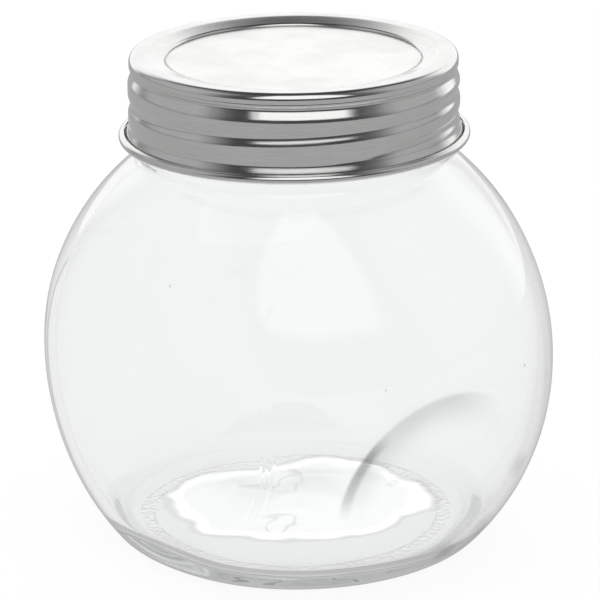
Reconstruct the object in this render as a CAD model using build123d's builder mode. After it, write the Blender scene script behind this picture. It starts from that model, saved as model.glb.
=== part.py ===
from build123d import *
import math
import os

os.makedirs("parts", exist_ok=True)

# Glass globe with two upright flat sides, front (-Y) and back (+Y)
globe_radius = 56.5
globe_centre_height = 41.0
flat_distance = 42.7
flat_edge_radius = 22.0
wall = 2.6
heel_radius = 9.0
floor_thickness = 4.2
floor_corner_radius = 7.0
bearing_width = 5.1
push_up = 1.6
push_up_slope = 2.4

# Glass neck and mouth
neck_radius = 33.6
neck_fillet = 3.0
neck_wall = 3.4
throat_fillet = 9.0
rim_edge_radius = 1.3

# Screw thread, a round ridge on the neck that a groove rolled into the band hooks under
thread_pitch = 5.08
glass_thread_turns = 1.5
glass_thread_radius = 1.5
glass_thread_crest = 1.2
glass_thread_top_drop = 4.7

# Flat disc with its edge turned down, and the sealing ring bonded under it
disc_overhang = 0.5
disc_sheet = 0.3
disc_edge_drop = 0.7
disc_edge_fillet = 0.5
seal_thickness = 0.9
seal_mouth_gap = 0.6
seal_edge_gap = 0.9

# Screw band, rolled from one sheet
band_sheet = 0.3
band_height = 18.7
band_disc_gap = 0.9
shoulder_radius = 1.5
crest_inset = 3.9
crest_fillet = 4.0
lip_width = 4.2
lip_drop = 1.1
skirt_height = 3.3
skirt_fillet = 2.0
bead_projection = 2.3
curl_radius = 0.95
curl_angle = 285.0

# Collar rolled round the band above its thread: a short slope in and a long one out
collar_drop = 2.5
collar_depth = 0.65
collar_slope_in = 1.1
collar_slope_out = 2.5
collar_edge_fillet = 0.8
collar_bottom_fillet = 0.5

# Groove rolled into the band's wall, leading out straight at each end
groove_depth = 0.8
groove_roller_radius = 1.6
groove_drop = 8.6
groove_turns = 1.0
groove_top_angle = 36.0
groove_runout = 8.0

# Running clearances and overruns
disc_clamp_gap = 0.1
band_foot_gap = 3.4
thread_flank_gap = 0.28
overrun = 1.0

# Radii that follow from the globe and from the neck, outward piece by piece
heel_circle = math.sqrt((globe_radius - heel_radius) ** 2 - (globe_centre_height - heel_radius) ** 2)
bearing_inner_radius = heel_circle - bearing_width
mouth_radius = neck_radius - neck_wall
disc_radius = neck_radius + disc_overhang
seal_inner_radius = mouth_radius + seal_mouth_gap
seal_outer_radius = disc_radius - seal_edge_gap
band_radius = disc_radius + band_disc_gap + band_sheet
crest_radius = band_radius - crest_inset
opening_radius = crest_radius - lip_width
bead_radius = band_radius + bead_projection

# Heights that follow from the shoulder, where the neck meets the globe: up the band, then down to the rim
shoulder_height = globe_centre_height + math.sqrt(globe_radius**2 - neck_radius**2)
band_bottom = shoulder_height + band_foot_gap
band_top = band_bottom + band_height
disc_top = band_top - lip_drop - band_sheet - disc_clamp_gap
disc_bottom = disc_top - disc_sheet
rim_height = disc_bottom - seal_thickness

# Helix of the band's groove, and how far above it the glass ridge's helix rides
full_turn = 360.0
groove_helix_radius = band_radius - groove_depth + groove_roller_radius
inner_ridge_radius = groove_roller_radius + band_sheet
glass_helix_radius = neck_radius + glass_thread_crest - glass_thread_radius
thread_radial_step = groove_helix_radius - glass_helix_radius
thread_centre_gap = inner_ridge_radius + glass_thread_radius + thread_flank_gap
thread_rise = math.sqrt(thread_centre_gap**2 - thread_radial_step**2)
groove_height_at_zero = band_top - groove_drop


def round_thread(radius, helix_radius, height_at_zero, top_angle, turns, runout):
    """Round bar on a right-handed helix, with straight run-outs or, where runout is zero, ball ends.

    The helix passes +X at height_at_zero, and angles count on from there through whole turns.
    """
    bottom_angle = top_angle - turns * full_turn
    with BuildPart() as bar:
        with BuildLine() as route:
            Helix(thread_pitch, turns * thread_pitch, helix_radius)
        ends = [Plane(origin=route.line @ share, z_dir=route.line % share) for share in (0, 1)]
        for end, lead in zip(ends, (-runout, runout)):
            if runout:
                with BuildSketch(end):
                    Circle(radius)
                extrude(amount=lead)
            else:
                with Locations(end.origin):
                    Sphere(radius)
        with BuildSketch(ends[0]):
            Circle(radius)
        sweep(path=route.line, is_frenet=True)
    bottom_height = height_at_zero + thread_pitch * bottom_angle / full_turn
    return bar.part.rotate(Axis.Z, bottom_angle).translate((0, 0, bottom_height))


def globe(inset, bottom, bottom_fillet, upright, upright_fillet, top):
    """Globe with its neck and two flats, every surface moved inward by inset from the outside."""
    radius = globe_radius - inset
    half_depth = flat_distance - inset
    flat_reach = math.sqrt(radius**2 - half_depth**2)
    middle = Plane.XY.offset(globe_centre_height)
    with BuildPart() as body:
        with BuildSketch(middle) as half:
            with BuildLine():
                Polyline((flat_reach, half_depth), (0, half_depth), (0, -half_depth), (flat_reach, -half_depth))
                ThreePointArc((flat_reach, -half_depth), (radius, 0), (flat_reach, half_depth))
            make_face()
            fillet(half.vertices().group_by(Axis.X)[-1], flat_edge_radius - inset)
        revolve(axis=Axis(middle.origin, (0, 1, 0)))
        split(bisect_by=Plane.XY.offset(bottom), keep=Keep.TOP)
        fillet(body.faces().sort_by(Axis.Z)[0].edges(), bottom_fillet)
        with BuildSketch(middle):
            Circle(upright)
        extrude(amount=top - globe_centre_height)
        side = body.faces().filter_by(GeomType.CYLINDER).sort_by(Axis.Z)[-1]
        shoulder = side.edges().filter_by(GeomType.LINE, reverse=True).sort_by(Axis.Z)[:-1]
        fillet(shoulder, upright_fillet)
    return body.part


# Glass jar
glass_outside = globe(0, 0, heel_radius, neck_radius, neck_fillet, rim_height)
cavity_bottom = push_up + floor_thickness
cavity = globe(wall, cavity_bottom, floor_corner_radius, mouth_radius, throat_fillet, rim_height + overrun)
glass_ridge_at_zero = groove_height_at_zero + thread_rise
glass_ridge_top = rim_height - glass_thread_top_drop
glass_ridge = round_thread(
    glass_thread_radius,
    glass_helix_radius,
    glass_ridge_at_zero,
    full_turn * (glass_ridge_top - glass_ridge_at_zero) / thread_pitch,
    glass_thread_turns,
    0,
)
with BuildPart() as whole_glass:
    add(glass_outside)
    add(glass_ridge)
    add(cavity, mode=Mode.SUBTRACT)
    with BuildSketch(Plane.XZ):
        with BuildLine():
            Polyline(
                (0, 0),
                (bearing_inner_radius, 0),
                (bearing_inner_radius - push_up_slope, push_up),
                (0, push_up),
                close=True,
            )
        make_face()
    revolve(axis=Axis.Z, mode=Mode.SUBTRACT)
    fillet(whole_glass.faces().sort_by(Axis.Z)[-1].edges(), rim_edge_radius)

# The one blown glass is two solids, body and neck, which meet level with the band's foot
for label, side in (("glass_jar", Keep.BOTTOM), ("glass_neck", Keep.TOP)):
    with BuildPart() as glass_piece:
        add(whole_glass.part)
        split(bisect_by=Plane.XY.offset(band_bottom), keep=side)
    glass_piece.part.label = label
    export_step(glass_piece.part, f"parts/{label}.step")

# Sealing ring
with BuildPart() as sealing_ring:
    with BuildSketch(Plane.XY.offset(rim_height)):
        Circle(seal_outer_radius)
        Circle(seal_inner_radius, mode=Mode.SUBTRACT)
    extrude(amount=seal_thickness)
sealing_ring.part.label = "sealing_ring"
export_step(sealing_ring.part, "parts/sealing_ring.step")

# Lid disc
with BuildPart() as lid_disc:
    with BuildSketch(Plane.XZ):
        with BuildLine():
            disc_middle = disc_bottom + disc_sheet / 2
            disc_edge = disc_radius - disc_sheet / 2
            FilletPolyline(
                (0, disc_middle),
                (disc_edge, disc_middle),
                (disc_edge, disc_bottom - disc_edge_drop),
                radius=disc_edge_fillet - disc_sheet / 2,
            )
        trace(line_width=disc_sheet)
    revolve(axis=Axis.Z)
lid_disc.part.label = "lid_disc"
export_step(lid_disc.part, "parts/lid_disc.step")

# Middle line of the band's sheet, from the lip over the crest and shoulder to the curl
half_sheet = band_sheet / 2
curl_middle = curl_radius - half_sheet
lip_height = band_top - half_sheet - lip_drop
wall_middle = band_radius - half_sheet
skirt_middle = bead_radius - half_sheet - 2 * curl_middle
curl_height = band_bottom + curl_radius
collar_top = band_top - collar_drop
collar_bottom = collar_top - collar_slope_in
with BuildLine() as sheet_line:
    FilletPolyline(
        (opening_radius, lip_height),
        (crest_radius, band_top - half_sheet),
        (wall_middle, band_top - half_sheet),
        (wall_middle, collar_top),
        (wall_middle - collar_depth, collar_bottom),
        (wall_middle, collar_bottom - collar_slope_out),
        (wall_middle, band_bottom + skirt_height),
        (skirt_middle, band_bottom + skirt_height - skirt_fillet),
        (skirt_middle, curl_height),
        radius=(
            crest_fillet,
            shoulder_radius - half_sheet,
            collar_edge_fillet,
            collar_bottom_fillet,
            collar_edge_fillet,
            skirt_fillet,
            skirt_fillet,
        ),
    )


def band_filled(sheet_mode, extra, thread_radius):
    """Band filled in as far as its opening, with its sheet added or taken off, less the round thread."""
    inner = opening_radius - extra
    bottom = curl_height - extra
    corners = (
        (skirt_middle, curl_height),
        (skirt_middle, bottom),
        (inner, bottom),
        (inner, lip_height),
        (opening_radius, lip_height),
    )
    with BuildPart() as filled:
        with BuildSketch(Plane.XZ):
            with BuildLine():
                add(sheet_line.line)
                # Where nothing extra is taken, the corners that coincide count once
                Polyline(*dict.fromkeys(corners))
            make_face()
            trace(sheet_line.line, line_width=band_sheet, mode=sheet_mode)
        revolve(axis=Axis.Z)
        add(
            round_thread(
                thread_radius,
                groove_helix_radius,
                groove_height_at_zero,
                groove_top_angle,
                groove_turns,
                groove_runout,
            ),
            mode=Mode.SUBTRACT,
        )
    return filled.part


# Screw band
band_outside = band_filled(Mode.ADD, 0, groove_roller_radius)
band_inside = band_filled(Mode.SUBTRACT, overrun, inner_ridge_radius)
with BuildPart() as screw_band:
    add(band_outside)
    add(band_inside, mode=Mode.SUBTRACT)
    with BuildSketch(Plane.XZ):
        with BuildLine():
            JernArc((skirt_middle, curl_height), (0, -1), curl_middle, curl_angle)
        trace(line_width=band_sheet)
    revolve(axis=Axis.Z)
screw_band.part.label = "screw_band"
export_step(screw_band.part, "parts/screw_band.step")
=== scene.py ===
import bmesh
import bpy
import math
from mathutils import Matrix, Vector, noise


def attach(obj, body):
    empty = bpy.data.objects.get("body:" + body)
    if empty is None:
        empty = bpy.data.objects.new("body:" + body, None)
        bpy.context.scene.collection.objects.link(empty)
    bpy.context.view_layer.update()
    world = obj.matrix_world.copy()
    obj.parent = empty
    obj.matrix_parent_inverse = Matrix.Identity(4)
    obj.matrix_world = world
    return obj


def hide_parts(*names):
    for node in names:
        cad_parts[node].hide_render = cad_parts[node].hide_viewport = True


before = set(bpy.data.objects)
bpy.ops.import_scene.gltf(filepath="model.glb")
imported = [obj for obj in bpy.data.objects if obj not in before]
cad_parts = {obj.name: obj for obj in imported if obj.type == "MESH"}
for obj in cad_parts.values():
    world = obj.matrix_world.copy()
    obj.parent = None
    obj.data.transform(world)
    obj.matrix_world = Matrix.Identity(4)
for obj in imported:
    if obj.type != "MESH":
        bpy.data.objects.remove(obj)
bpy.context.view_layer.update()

mm = 0.001

# Camera. The photograph was taken with a long lens from 18 degrees above, turned 49 degrees
# from the flat side of the jar, and with the camera leaning by half a degree.
aim = Vector((0, 0, 50 * mm))
distance = 841.5 * mm
azimuth = math.radians(48.99)
elevation = math.radians(18.452)
lean = math.radians(0.719)
camera_data = bpy.data.cameras.new("camera")
camera_data.lens = 232.5
camera_data.sensor_width = 36
camera_data.shift_x = 0.00553
camera_data.shift_y = 0.02075
camera_data.clip_start = 0.05
camera_data.clip_end = 20
camera = bpy.data.objects.new("camera", camera_data)
bpy.context.collection.objects.link(camera)
outward = Vector(
    (
        math.sin(azimuth) * math.cos(elevation),
        -math.cos(azimuth) * math.cos(elevation),
        math.sin(elevation),
    )
)
looking = (-outward).to_track_quat("-Z", "Y").to_matrix().to_4x4()
camera.matrix_world = Matrix.Translation(aim + outward * distance) @ looking @ Matrix.Rotation(-lean, 4, "Z")
bpy.context.scene.camera = camera
bpy.context.scene.view_settings.view_transform = "Standard"


class Shader:
    """Builds one material's or world's nodes, each by its type, settings and inputs."""

    def __init__(self, owner):
        owner.use_nodes = True
        self.nodes = owner.node_tree.nodes
        self.links = owner.node_tree.links
        self.nodes.clear()

    def node(self, kind, settings=(), **inputs):
        made = self.nodes.new(kind)
        for name, value in dict(settings).items():
            setattr(made, name, value)
        for name, value in inputs.items():
            key = int(name[1:]) if name[1:].isdigit() else name.replace("_", " ")
            self.feed(made.inputs[key], value)
        return made

    def feed(self, socket, value):
        if isinstance(value, Amount):
            self.links.new(value.socket, socket)
        elif isinstance(value, bpy.types.NodeSocket):
            self.links.new(value, socket)
        else:
            socket.default_value = value

    def amount(self, kind, output=0, settings=(), **inputs):
        return Amount(self, self.node(kind, settings, **inputs).outputs[output])


class Amount:
    """A number flowing between nodes, which sums and products can be written with."""

    def __init__(self, shader, socket):
        self.shader = shader
        self.socket = socket

    def maths(self, operation, *terms, clamp=False):
        made = self.shader.node("ShaderNodeMath", {"operation": operation, "use_clamp": clamp})
        for slot, term in zip(made.inputs, terms):
            self.shader.feed(slot, term)
        return Amount(self.shader, made.outputs[0])

    def __add__(self, other):
        return self.maths("ADD", self, other)

    __radd__ = __add__

    def __sub__(self, other):
        return self.maths("SUBTRACT", self, other)

    def __rsub__(self, other):
        return self.maths("SUBTRACT", other, self)

    def __mul__(self, other):
        return self.maths("MULTIPLY", self, other)

    __rmul__ = __mul__

    def __truediv__(self, other):
        return self.maths("DIVIDE", self, other)

    def __pow__(self, other):
        return self.maths("POWER", self, other)

    def between(self, low, high):
        """Rises smoothly from 0 at low to 1 at high."""
        made = self.shader.node("ShaderNodeMapRange", {"interpolation_type": "SMOOTHSTEP"})
        for slot, term in zip(made.inputs, (self, low, high, 0.0, 1.0)):
            self.shader.feed(slot, term)
        return Amount(self.shader, made.outputs[0])


# Studio. A white sweep stands behind the object, a soft box hangs over its front right, and the
# room and its ceiling are a dim grey. They show in reflections only: looked at directly or through
# glass, all round is white, but for a strip behind at the right, slightly shaded through glass.
world = bpy.data.worlds.new("studio")
bpy.context.scene.world = world
studio = Shader(world)
path = studio.node("ShaderNodeLightPath")
camera_ray = Amount(studio, path.outputs["Is Camera Ray"])
through_ray = Amount(studio, path.outputs["Is Transmission Ray"])
glossy_ray = Amount(studio, path.outputs["Is Glossy Ray"])
direction = studio.node("ShaderNodeNewGeometry")
parts = studio.node("ShaderNodeSeparateXYZ", Vector=direction.outputs["Incoming"])
east = Amount(studio, parts.outputs[0]) * -1.0
north = Amount(studio, parts.outputs[1]) * -1.0
up = Amount(studio, parts.outputs[2]) * -1.0
height = up.maths("ARCSINE", up)
around = up.maths("ARCTAN2", east, north * -1.0)


def away_from(centre):
    """Angle round the vertical from the middle of a light, either way."""
    turned = around.maths("WRAP", around - math.radians(centre), math.pi, -math.pi)
    return turned.maths("ABSOLUTE", turned)


soft_box = 1.0 - away_from(55).between(math.radians(31), math.radians(40))
soft_box *= height.between(math.radians(20), math.radians(27))
soft_box *= 1.0 - height.between(math.radians(76), math.radians(84))
sweep = 1.0 - away_from(222).between(math.radians(38), math.radians(60))
sweep *= 1.0 - height.between(math.radians(25), math.radians(47))
room = 1.0 - away_from(-50).between(math.radians(25), math.radians(60))
room += 1.0 - away_from(147).between(math.radians(18), math.radians(42))
room *= 1.0 - height.between(math.radians(50), math.radians(75))
ceiling = away_from(49).between(math.radians(40), math.radians(75))
ceiling *= 1.0 - away_from(49).between(math.radians(115), math.radians(140))
ceiling *= height.between(math.radians(-4), math.radians(10))
ceiling *= 1.0 - height.between(math.radians(50), math.radians(70))
reflected = 0.06 + soft_box * 1.18 + sweep * 1.1 + room * 0.2 + ceiling * 0.22
side_shade = 1.0 - away_from(204).between(math.radians(5), math.radians(13))
through_glass = 0.98 - side_shade * 0.2
glossy_only = glossy_ray * (1.0 - through_ray)
seen = camera_ray + (1.0 - camera_ray) * through_glass
strength = glossy_only * reflected + (1.0 - glossy_only) * seen
background = studio.node("ShaderNodeBackground", Color=(1, 1, 1, 1), Strength=strength)
studio.node("ShaderNodeOutputWorld", Surface=background.outputs[0])

# Floor. A plain white table with a faint shadow of the jar. Seen through the glass its glow is
# painted a little dimmer, and a painted pool of light stands for the light that the jar's base
# gathers onto it: a ragged patch, wider than it is deep.
floor_mesh = bmesh.new()
bmesh.ops.create_grid(floor_mesh, x_segments=1, y_segments=1, size=3)
floor_data = bpy.data.meshes.new("floor")
floor_mesh.to_mesh(floor_data)
floor_mesh.free()
floor = bpy.data.objects.new("floor", floor_data)
bpy.context.collection.objects.link(floor)
white_paper = bpy.data.materials.new("white_paper")
paper = Shader(white_paper)
paper_diffuse = paper.node("ShaderNodeBsdfDiffuse", Color=(0.12, 0.12, 0.12, 1))
paper_path = paper.node("ShaderNodeLightPath")
paper_through = Amount(paper, paper_path.outputs["Is Transmission Ray"])
paper_glossy = Amount(paper, paper_path.outputs["Is Glossy Ray"]) * (1.0 - paper_through)
paper_place = paper.node("ShaderNodeTexCoord").outputs["Object"]
patch_middle = (0.8 * mm, 6.5 * mm, 0)
patch_squeeze = (1, 1.18, 1)
ragged_by = 16 * mm
paper_turned = paper.node(
    "ShaderNodeVectorRotate", {"rotation_type": "Z_AXIS"}, Vector=paper_place, Angle=-azimuth
)
paper_shift = paper.node(
    "ShaderNodeVectorMath", {"operation": "SUBTRACT"}, _0=paper_turned.outputs[0], _1=patch_middle
)
paper_squeeze = paper.node(
    "ShaderNodeVectorMath", {"operation": "MULTIPLY"}, _0=paper_shift.outputs[0], _1=patch_squeeze
)
paper_flat = paper.node("ShaderNodeVectorMath", {"operation": "LENGTH"}, _0=paper_squeeze.outputs[0])
ripple = paper.amount("ShaderNodeTexNoise", Vector=paper_place, Scale=55.0, Detail=2.0, Roughness=0.5)
from_middle = Amount(paper, paper_flat.outputs["Value"]) + (ripple - 0.5) * ragged_by
# Painted pool of light: a ragged patch on the table, a brighter rim inside it, and painted darker lines
painted_light_patch = 1.0 - from_middle.between(26.8 * mm, 27.8 * mm)
painted_patch_rim = from_middle.between(23.5 * mm, 25 * mm) * painted_light_patch
painted_patch_dark_line = ripple.between(0.6, 0.62) * (1.0 - ripple.between(0.62, 0.64)) * painted_light_patch
painted_patch_outer_shade = from_middle.between(27.8 * mm, 28.4 * mm) * (1.0 - from_middle.between(28.8 * mm, 29.8 * mm))
painted_patch_light = painted_light_patch * 0.19 + painted_patch_rim * 0.16 - painted_patch_dark_line * 0.25 - painted_patch_outer_shade * 0.14
# Seen through the glass the table's glow is painted 0.07 dimmer, with the painted pool of light added
paper_strength = 0.9 - paper_glossy * 0.56 - paper_through * (0.07 - painted_patch_light)
paper_white = paper.node(
    "ShaderNodeCombineColor", Red=paper_strength, Green=paper_strength, Blue=paper_strength
)
paper_glow = paper.node("ShaderNodeEmission", Color=paper_white.outputs[0], Strength=1.0)
paper_both = paper.node("ShaderNodeAddShader", _0=paper_diffuse.outputs[0], _1=paper_glow.outputs[0])
paper.node("ShaderNodeOutputMaterial", Surface=paper_both.outputs[0])
floor_data.materials.append(white_paper)


class Section:
    """Half section drawn from point to point in the XZ plane, in millimetres, then spun about Z."""

    def __init__(self, x, z):
        self.mesh = bmesh.new()
        self.tip = self.mesh.verts.new((x * mm, 0, z * mm))

    def line(self, x, z, steps=1):
        step = (Vector((x * mm, 0, z * mm)) - self.tip.co) / steps
        for _ in range(steps):
            grown = bmesh.ops.extrude_vert_indiv(self.mesh, verts=[self.tip])
            self.tip = grown["verts"][0]
            self.tip.co += step

    def arc(self, x, z, degrees, steps):
        """Turns the tip about (x, z), counted clockwise with X to the right and Z up."""
        spun = bmesh.ops.spin(
            self.mesh,
            geom=[self.tip],
            cent=(x * mm, 0, z * mm),
            axis=(0, 1, 0),
            angle=math.radians(degrees),
            steps=steps,
        )
        self.tip = [item for item in spun["geom_last"] if isinstance(item, bmesh.types.BMVert)][0]

    def spin(self, steps=256):
        bmesh.ops.remove_doubles(self.mesh, verts=self.mesh.verts, dist=0.002 * mm)
        bmesh.ops.spin(
            self.mesh,
            geom=self.mesh.verts[:] + self.mesh.edges[:],
            cent=(0, 0, 0),
            axis=(0, 0, 1),
            angle=2 * math.pi,
            steps=steps,
            use_merge=True,
        )
        bmesh.ops.remove_doubles(self.mesh, verts=self.mesh.verts, dist=0.002 * mm)
        bmesh.ops.recalc_face_normals(self.mesh, faces=self.mesh.faces)
        return self.mesh


def finished(name, mesh, material):
    """Turns the mesh into a smooth piece with its material."""
    for face in mesh.faces:
        face.smooth = True
    data = bpy.data.meshes.new(name)
    mesh.to_mesh(data)
    mesh.free()
    data.materials.append(material)
    piece = bpy.data.objects.new(name, data)
    bpy.context.collection.objects.link(piece)
    return piece


def helix_offset(x, y, z, height_at_zero, top_turn, bottom_turn):
    """Height above the nearest turn of the screw thread, and how many turns inside its ends that is."""
    turn = math.atan2(y, x) / (2 * math.pi)
    whole = round((z / mm - height_at_zero) / thread_pitch - turn)
    whole = max(math.ceil(bottom_turn - turn), min(math.floor(top_turn - turn), whole))
    place = turn + whole
    return z / mm - height_at_zero - thread_pitch * place, min(top_turn - place, place - bottom_turn)


# Glass jar. One piece of clear glass, blown in a two-part mould: a globe with two flat sides,
# a pushed-up base on a stippled ring, and a wide neck with a thread.
globe_radius = 56.2
globe_centre = 41.28
plate_depth = 42.75
plate_softness = 4.0
wall = 2.6
heel_rounding = 9.0
floor_top = 5.8
floor_rounding = 7.0
neck_radius = 33.6
neck_rounding = 3.0
mouth_radius = 30.2
throat_rounding = 9.0
rim_top = 105.8
rim_rounding = 1.3
thread_pitch = 5.08
thread_turns = 1.5
thread_height = 1.2
thread_half_width = 1.7
groove_at_zero = 99.9
thread_at_zero = groove_at_zero + 2.388
thread_top_turn = (rim_top - 4.7 - thread_at_zero) / thread_pitch
glass = bpy.data.materials.new("clear_glass")
clear = Shader(glass)
facing = clear.amount("ShaderNodeLayerWeight", 1, Blend=0.5)
glass_place = clear.node("ShaderNodeTexCoord").outputs["Object"]
glass_height = Amount(clear, clear.node("ShaderNodeSeparateXYZ", Vector=glass_place).outputs[2])


def glass_distance(x, y, z):
    """Distance from a point given in millimetres."""
    point = (x * mm, y * mm, z * mm)
    span = clear.node("ShaderNodeVectorMath", {"operation": "DISTANCE"}, _0=glass_place, _1=point)
    return Amount(clear, span.outputs["Value"])


# Painted shade: a dark crescent painted into the lower right of the wall, for the far flat side's
# refracted edge. It lies where a plane cuts the globe, and its lower end is a thin dark point.
crescent_plane_facing = (0.9403, -0.1002, -0.3251)
crescent_plane_distance = 37.67
crescent_dot = clear.node("ShaderNodeVectorMath", {"operation": "DOT_PRODUCT"}, _0=glass_place, _1=crescent_plane_facing)
past_crescent_plane = Amount(clear, crescent_dot.outputs["Value"]) - crescent_plane_distance * mm
on_outside = glass_distance(0, 0, globe_centre).between(54.5 * mm, 55.5 * mm)
crescent_reach = 1.0 - glass_distance(52.0, -15.0, 40.0).between(11 * mm, 24 * mm)
painted_crescent_and_dark_spots = past_crescent_plane.between(-0.35 * mm, 0.15 * mm) * (1.0 - past_crescent_plane.between(0.2 * mm, 3.0 * mm))
painted_crescent_and_dark_spots *= crescent_reach * on_outside
crescent_point = past_crescent_plane.between(-0.3 * mm, 0.1 * mm) * (1.0 - past_crescent_plane.between(0.5 * mm, 1.1 * mm))
painted_crescent_and_dark_spots += crescent_point * (1.0 - glass_distance(48.3, -27.2, 32.5).between(5 * mm, 12 * mm)) * on_outside
# Heel: streaky painted shade, a little greyer than the walls at the front right, and three darker spots
heel_noise = clear.amount("ShaderNodeTexNoise", Vector=glass_place, Scale=70.0, Detail=3.0)
heel_streak = heel_noise.between(0.35, 0.65)
dark_spots = ((49.6, 19.5, 23.2), (43.6, 14.4, 8.8), (43.6, 3.0, 6.0))
dark_spot_tone = 0.6 + heel_streak * 0.8
for spot_x, spot_y, spot_z in dark_spots:
    painted_crescent_and_dark_spots += (1.0 - glass_distance(spot_x, spot_y, spot_z).between(0.8 * mm, 4.2 * mm)) * dark_spot_tone
from_foot = glass_distance(0, 0, 0)
# Painted shade on the heel's glass, low down and towards the front right only
heel_painted_shade = (1.0 - glass_height.between(7 * mm, 12 * mm)) * glass_height.between(1.5 * mm, 4 * mm)
heel_painted_shade *= from_foot.between(35 * mm, 41 * mm)
heel_painted_shade *= 1.0 - glass_distance(30, -26, 4).between(38 * mm, 52 * mm)
# Painted shade: the glass's colour darkens at grazing angles, for the grey rims its edges show
painted_edge_shade = 1.0 - facing**10.0 * 0.55
glass_tone = painted_edge_shade * (1.0 - painted_crescent_and_dark_spots * 0.4) * (1.0 - heel_painted_shade * (0.04 + heel_streak * 0.12))
glass_colour = clear.node("ShaderNodeCombineColor", Red=glass_tone * 0.995, Green=glass_tone, Blue=glass_tone)
# Stippling on the ring that the jar stands on
dimple = clear.amount("ShaderNodeTexVoronoi", Vector=glass_place, Scale=800.0)
stipple = (1.0 - glass_height.between(0.3 * mm, 1.2 * mm)) * from_foot.between(30.5 * mm, 31.2 * mm)
stipple *= 1.0 - from_foot.between(33.2 * mm, 34.2 * mm)
# Faint ring on the front flat side, where the mould's plate met its hollow, lost low down
upright = clear.node("ShaderNodeVectorMath", {"operation": "MULTIPLY"}, _0=glass_place, _1=(1, 0, 1))
plate_middle = (0, 0, globe_centre * mm)
plate_span = clear.node(
    "ShaderNodeVectorMath", {"operation": "DISTANCE"}, _0=upright.outputs[0], _1=plate_middle
)
from_plate = Amount(clear, plate_span.outputs["Value"])
plate_line = from_plate.between(35.6 * mm, 36.3 * mm) * (1.0 - from_plate.between(36.3 * mm, 37.0 * mm))
plate_line *= glass_distance(0, 200, globe_centre).between(235 * mm, 240 * mm)
plate_line *= glass_height.between(18 * mm, 28 * mm)
relief = stipple * dimple * 0.6 + plate_line * 0.06
stippled = clear.node("ShaderNodeBump", Strength=1.0, Distance=0.0006, Height=relief)
glass_surface = clear.node(
    "ShaderNodeBsdfPrincipled",
    Base_Color=glass_colour.outputs[0],
    Roughness=0.0,
    IOR=1.5,
    Transmission_Weight=1.0,
    Normal=stippled.outputs[0],
)
glass_depth = clear.node("ShaderNodeVolumeAbsorption", Color=(0.5, 0.52, 0.52, 1), Density=6.0)
# Painted glow: rays bounced about in the thick base for long end in a plain pale grey emission
glass_path = clear.node("ShaderNodeLightPath")
bounced = Amount(clear, glass_path.outputs["Glossy Depth"])
bounced_long = bounced.maths("GREATER_THAN", bounced, 2.5)
painted_base_glow = clear.node("ShaderNodeEmission", Color=(1, 1, 1, 1), Strength=0.68)
clear_glass = clear.node(
    "ShaderNodeMixShader", _0=bounced_long, _1=glass_surface.outputs[0], _2=painted_base_glow.outputs[0]
)
clear.node("ShaderNodeOutputMaterial", Surface=clear_glass.outputs[0], Volume=glass_depth.outputs[0])

# Half section: the pushed-up underside, up the outside, over the rim and down the inside
jar = Section(0, 1.0)
jar.line(10.0, 0.8, 6)
jar.line(26.5, 0.2, 10)
jar.line(30.0, 0.05, 2)
jar.line(30.8, 0.0, 1)
heel_x = math.sqrt((globe_radius - heel_rounding) ** 2 - (globe_centre - heel_rounding) ** 2)
heel_turn = math.degrees(math.atan2(heel_x, globe_centre - heel_rounding))
jar.line(heel_x, 0.0, 4)
jar.arc(heel_x, heel_rounding, -heel_turn, 10)
neck_x = neck_radius + neck_rounding
neck_z = globe_centre + math.sqrt((globe_radius + neck_rounding) ** 2 - neck_x**2)
neck_turn = math.degrees(math.atan2(neck_x, neck_z - globe_centre))
jar.arc(0, globe_centre, -(180 - heel_turn - neck_turn), 72)
jar.arc(neck_x, neck_z, 90 - neck_turn, 6)
rim_z = rim_top - rim_rounding
jar.line(neck_radius, rim_z, 56)
jar.arc(neck_radius - rim_rounding, rim_z, -90, 5)
jar.line(mouth_radius + rim_rounding, rim_top, 1)
jar.arc(mouth_radius + rim_rounding, rim_z, -90, 5)
inner_radius = globe_radius - wall
throat_x = mouth_radius + throat_rounding
throat_z = globe_centre + math.sqrt((inner_radius + throat_rounding) ** 2 - throat_x**2)
throat_turn = math.degrees(math.atan2(throat_x, throat_z - globe_centre))
jar.line(mouth_radius, throat_z, 12)
jar.arc(throat_x, throat_z, -(90 - throat_turn), 12)
corner_z = floor_top + floor_rounding
corner_x = math.sqrt((inner_radius - floor_rounding) ** 2 - (globe_centre - corner_z) ** 2)
corner_turn = math.degrees(math.atan2(corner_x, globe_centre - corner_z))
jar.arc(0, globe_centre, 180 - throat_turn - corner_turn, 72)
jar.arc(corner_x, corner_z, corner_turn, 10)
jar.line(0, floor_top, 16)
jar_mesh = jar.spin()
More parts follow.
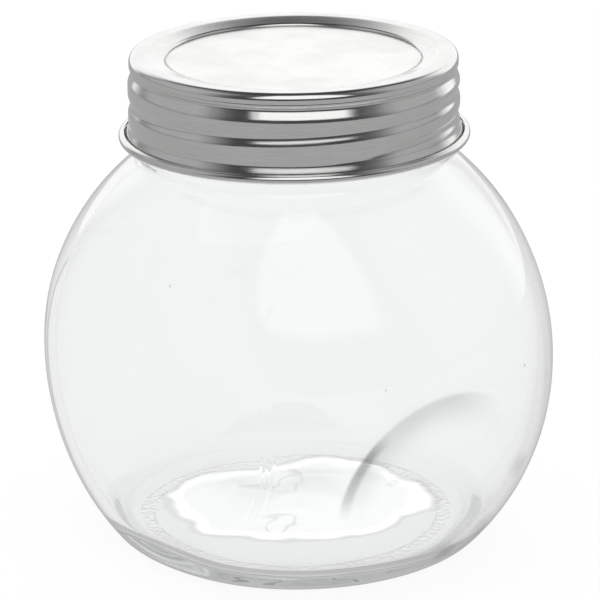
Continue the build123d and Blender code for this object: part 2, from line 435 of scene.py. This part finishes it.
for vertex in jar_mesh.verts:
    x, y, z = vertex.co
    across = math.hypot(x, y) / mm
    out = math.sqrt(across**2 + (z / mm - globe_centre) ** 2)
    inside = z > (floor_top - 0.1) * mm and out < globe_radius - wall / 2
    radius = inner_radius if inside else globe_radius
    depth = plate_depth - wall if inside else plate_depth
    # Flats: the globe is pressed in towards its middle plane, most at the centre of each side
    rho = math.hypot(x / mm, z / mm - globe_centre)
    if z < 87 * mm and across > 28 and rho < radius - 3:
        round_depth = math.sqrt(radius**2 - rho**2)
        pressed = (round_depth + depth - math.hypot(round_depth - depth, plate_softness)) / 2
        held = min(1, (across - 28) / 8, (radius - 3 - rho) / 6)
        vertex.co.y = y + y * (pressed / round_depth - 1) * held
    # Waves: blown glass is never quite even, least of all in its thick base
    if z < 88 * mm:
        swell = noise.noise(vertex.co * 45.0) * (0.16 if inside else 0.08)
        swell *= min(1, (88 - z / mm) / 5) * (1 + 2 * math.exp(-z / mm / 6))
        vertex.co.x += x / mm / out * swell * mm
        vertex.co.y += y / mm / out * swell * mm
        if inside and z < 8 * mm:
            vertex.co.z += noise.noise(vertex.co * 70.0) * (8 - z / mm) / 2.2 * 0.25 * mm
    # Thread: a low round ridge, one and a half turns
    if across > 33.5 and z > 88.5 * mm and z < 104 * mm:
        rise, inwards = helix_offset(
            x, y, z, thread_at_zero, thread_top_turn, thread_top_turn - thread_turns
        )
        ends = min(1, inwards / 0.02)
        if abs(rise) < thread_half_width:
            bulge = thread_height * math.cos(math.pi / 2 * rise / thread_half_width) ** 1.5 * ends
            vertex.co.x += x / across * bulge
            vertex.co.y += y / across * bulge
# Seeds: the small bubbles that any blown glass holds
seeds = ((51.8, 17.4, 46.9, 0.4), (50.3, -20.1, 50.1, 0.25), (8.0, -41.2, 67.2, 0.3))
for seed_x, seed_y, seed_z, size in seeds:
    bubble = bmesh.ops.create_uvsphere(jar_mesh, u_segments=12, v_segments=8, radius=size * mm)
    bmesh.ops.translate(jar_mesh, verts=bubble["verts"], vec=(seed_x * mm, seed_y * mm, seed_z * mm))
    hollow = list({face for vertex in bubble["verts"] for face in vertex.link_faces})
    bmesh.ops.reverse_faces(jar_mesh, faces=hollow)
glass_jar = finished("jar_glass_body", jar_mesh, glass)
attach(glass_jar, "jar")
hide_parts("glass_jar")
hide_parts("glass_neck")


def tinplate(name, tone, roughness):
    """Satin tinplate, rolled and handled, with fine scratches both ways round and a few smudges."""
    material = bpy.data.materials.new(name)
    metal = Shader(material)
    place = metal.node("ShaderNodeTexCoord").outputs["Object"]
    height = Amount(metal, metal.node("ShaderNodeSeparateXYZ", Vector=place).outputs[2])
    scratches = []
    for twist, spread in ((420.0, 0.9), (-260.0, 1.0), (60.0, 0.55)):
        wound = metal.node(
            "ShaderNodeVectorRotate", {"rotation_type": "Z_AXIS"}, Vector=place, Angle=height * twist
        )
        stretched = metal.node(
            "ShaderNodeVectorMath",
            {"operation": "MULTIPLY"},
            _0=wound.outputs[0],
            _1=(260.0 * spread, 260.0 * spread, 5200.0),
        )
        grain = metal.amount(
            "ShaderNodeTexNoise", Vector=stretched.outputs[0], Scale=1.0, Detail=3.0, Roughness=0.6
        )
        scratches.append(grain)
    fine = (scratches[0] + scratches[1] + scratches[2]) / 3.0
    lines = fine.between(0.42, 0.6)
    smudge = metal.amount("ShaderNodeTexNoise", Vector=place, Scale=90.0, Detail=3.0).between(0.35, 0.7)
    shade = tone * (0.93 + lines * 0.08 - smudge * 0.025)
    colour = metal.node("ShaderNodeCombineColor", Red=shade, Green=shade, Blue=shade * 0.99)
    bump = metal.node("ShaderNodeBump", Strength=0.25, Distance=0.00002, Height=fine)
    surface = metal.node(
        "ShaderNodeBsdfPrincipled",
        Base_Color=colour.outputs[0],
        Metallic=1.0,
        Roughness=roughness + smudge * 0.04 + lines * 0.04,
        Normal=bump.outputs[0],
    )
    metal.node("ShaderNodeOutputMaterial", Surface=surface.outputs[0])
    return material


# Screw band. One sheet of tinplate, pressed to a ring with an open top, with a collar and a groove
# rolled into its wall, the groove as its thread, and its lower edge curled outward and up.
sheet = 0.3
band_top = 108.5
band_bottom = 89.85
middle_top = band_top - sheet / 2
lip_inner = 27.2
lip_width = 4.2
lip_drop = 1.1
crest_rounding = 4.0
rim_middle = 34.95
shoulder = 1.35
rim_crease = 106.3
collar_top = 106.1
collar_bottom = 105.1
collar_foot = 102.05
collar_depth = 0.6
wall_out = 0.32
groove_top_turn = 0.28
groove_bottom_turn = -1.1
groove_fade = 0.14
groove_depth = 0.52
groove_half_width = 2.1
flare_top = 93.1
flare_drop = 1.48
flare_bend = 1.45
bead_middle = 35.85
curl_radius = 0.8
curl_middle_z = band_bottom + 0.95
band_metal = tinplate("satin_tinplate", 0.78, 0.11)


def eased(share, ease_in, ease_out):
    """Share of a climb done: it steepens over ease_in, runs straight, and flattens over ease_out."""
    if share < ease_in:
        risen = share**2 / (2 * ease_in)
    elif share < 1 - ease_out:
        risen = share - ease_in / 2
    else:
        risen = 1 - (ease_in + ease_out) / 2 - (1 - share) ** 2 / (2 * ease_out)
    return risen / (1 - (ease_in + ease_out) / 2)


# Half section: from the lip's free edge over the crest and shoulder, down the wall and round the curl
slope = math.atan2(lip_drop, lip_width)
crest_x = lip_inner + lip_width + crest_rounding * math.tan(slope / 2)
crest_z = middle_top - crest_rounding
wall_middle = rim_middle + wall_out
flare = math.atan2(bead_middle - wall_middle, flare_drop)
flare_reach = flare_bend * math.tan(flare / 2)
flare_start = flare_top + flare_reach
flare_end = flare_top - flare_drop - flare_reach
band = Section(lip_inner, middle_top - lip_drop)
band.line(crest_x - crest_rounding * math.sin(slope), crest_z + crest_rounding * math.cos(slope), 4)
band.arc(crest_x, crest_z, math.degrees(slope), 6)
band.line(rim_middle - shoulder, middle_top, 2)
band.arc(rim_middle - shoulder, middle_top - shoulder, 90, 8)
band.line(rim_middle, 101.0, 42)
band.line(wall_middle, 100.0, 6)
band.line(wall_middle, flare_start, 40)
band.arc(wall_middle + flare_bend, flare_start, -math.degrees(flare), 4)
bead_arc_x = bead_middle - flare_bend
band.line(bead_arc_x + flare_bend * math.cos(flare), flare_end + flare_bend * math.sin(flare), 2)
band.arc(bead_arc_x, flare_end, math.degrees(flare), 4)
band.line(bead_middle, curl_middle_z)
band.arc(bead_middle + curl_radius, curl_middle_z, -285, 24)
band_mesh = band.spin()
for vertex in band_mesh.verts:
    x, y, z = vertex.co
    across = math.hypot(x, y) / mm
    level = z / mm
    if across > rim_middle - 0.01 and level > flare_start - 0.01:
        # Collar: a short slope in and a long one out, then the wall stands out a little further
        ragged = collar_bottom + noise.noise(Vector((x, y, 0)) * 900.0) * 0.08
        if level > ragged:
            move = -collar_depth * max(0, (collar_top - level) / (collar_top - ragged)) ** 1.3
            move -= 0.1 * math.cos(math.pi / 2 * min(1, abs(level - rim_crease) / 0.3)) ** 2
        else:
            share = min(1, (ragged - level) / (ragged - collar_foot))
            move = (collar_depth + wall_out) * eased(share, 0.22, 0.38) - collar_depth
        # Groove: the thread, a turn and a third, fading out at each end
        rise, inwards = helix_offset(x, y, z, groove_at_zero, groove_top_turn, groove_bottom_turn)
        runout = math.sin(math.pi / 2 * min(1, inwards / groove_fade)) ** 2
        if abs(rise) < groove_half_width:
            move -= groove_depth * math.cos(math.pi / 2 * rise / groove_half_width) ** 2 * runout
        move += rim_middle - across
        vertex.co.x += x / mm / across * move * mm
        vertex.co.y += y / mm / across * move * mm
screw_band = finished("rolled_band", band_mesh, band_metal)
thickness = screw_band.modifiers.new("sheet", "SOLIDIFY")
thickness.thickness = sheet * mm
thickness.offset = 0
thickness.use_even_offset = True
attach(screw_band, "band")
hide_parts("screw_band")

# Lid disc. A loose flat disc of tinplate, its edge turned down over the glass rim.
disc_bottom = 106.75
disc_middle = disc_bottom + sheet / 2
disc_edge = 33.95
disc_rounding = 0.35
# The disc's tinplate is lighter in tone than the band's: partly its own finish, partly painted light so that
# its top reads near white
disc_metal = tinplate("satin_tinplate_disc", 0.97, 0.3)
disc = Section(0, disc_middle)
disc.line(disc_edge - disc_rounding, disc_middle, 40)
disc.arc(disc_edge - disc_rounding, disc_middle - disc_rounding, 90, 6)
disc.line(disc_edge, disc_bottom - 0.7)
lid_disc = finished("pressed_disc", disc.spin(), disc_metal)
disc_thickness = lid_disc.modifiers.new("sheet", "SOLIDIFY")
disc_thickness.thickness = sheet * mm
disc_thickness.offset = 0
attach(lid_disc, "lid_plate")
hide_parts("lid_disc")

# Sealing ring. Soft compound flowed in under the edge of the disc, matt light grey.
compound = bpy.data.materials.new("sealing_compound")
soft = Shader(compound)
soft_place = soft.node("ShaderNodeTexCoord").outputs["Object"]
soft_grain = soft.amount("ShaderNodeTexNoise", Vector=soft_place, Scale=1800.0, Detail=2.0)
soft_tone = 0.5 + soft_grain * 0.12
soft_colour = soft.node("ShaderNodeCombineColor", Red=soft_tone, Green=soft_tone, Blue=soft_tone * 0.96)
soft_bump = soft.node("ShaderNodeBump", Strength=0.3, Distance=0.00005, Height=soft_grain)
soft_surface = soft.node(
    "ShaderNodeBsdfPrincipled",
    Base_Color=soft_colour.outputs[0],
    Roughness=0.62,
    Normal=soft_bump.outputs[0],
)
soft.node("ShaderNodeOutputMaterial", Surface=soft_surface.outputs[0])
seal_inner = 30.8
seal_outer = 33.2
seal_rounding = 0.3
seal = Section(seal_inner + seal_rounding, rim_top)
seal.line(seal_outer - seal_rounding, rim_top, 3)
seal.arc(seal_outer - seal_rounding, rim_top + seal_rounding, -90, 4)
seal.line(seal_outer, disc_bottom - seal_rounding)
seal.arc(seal_outer - seal_rounding, disc_bottom - seal_rounding, -90, 4)
seal.line(seal_inner + seal_rounding, disc_bottom, 3)
seal.arc(seal_inner + seal_rounding, disc_bottom - seal_rounding, -90, 4)
seal.line(seal_inner, rim_top + seal_rounding)
seal.arc(seal_inner + seal_rounding, rim_top + seal_rounding, -90, 4)
sealing_ring = finished("seal_ring_compound", seal.spin(192), compound)
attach(sealing_ring, "lid_plate")
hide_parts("sealing_ring")
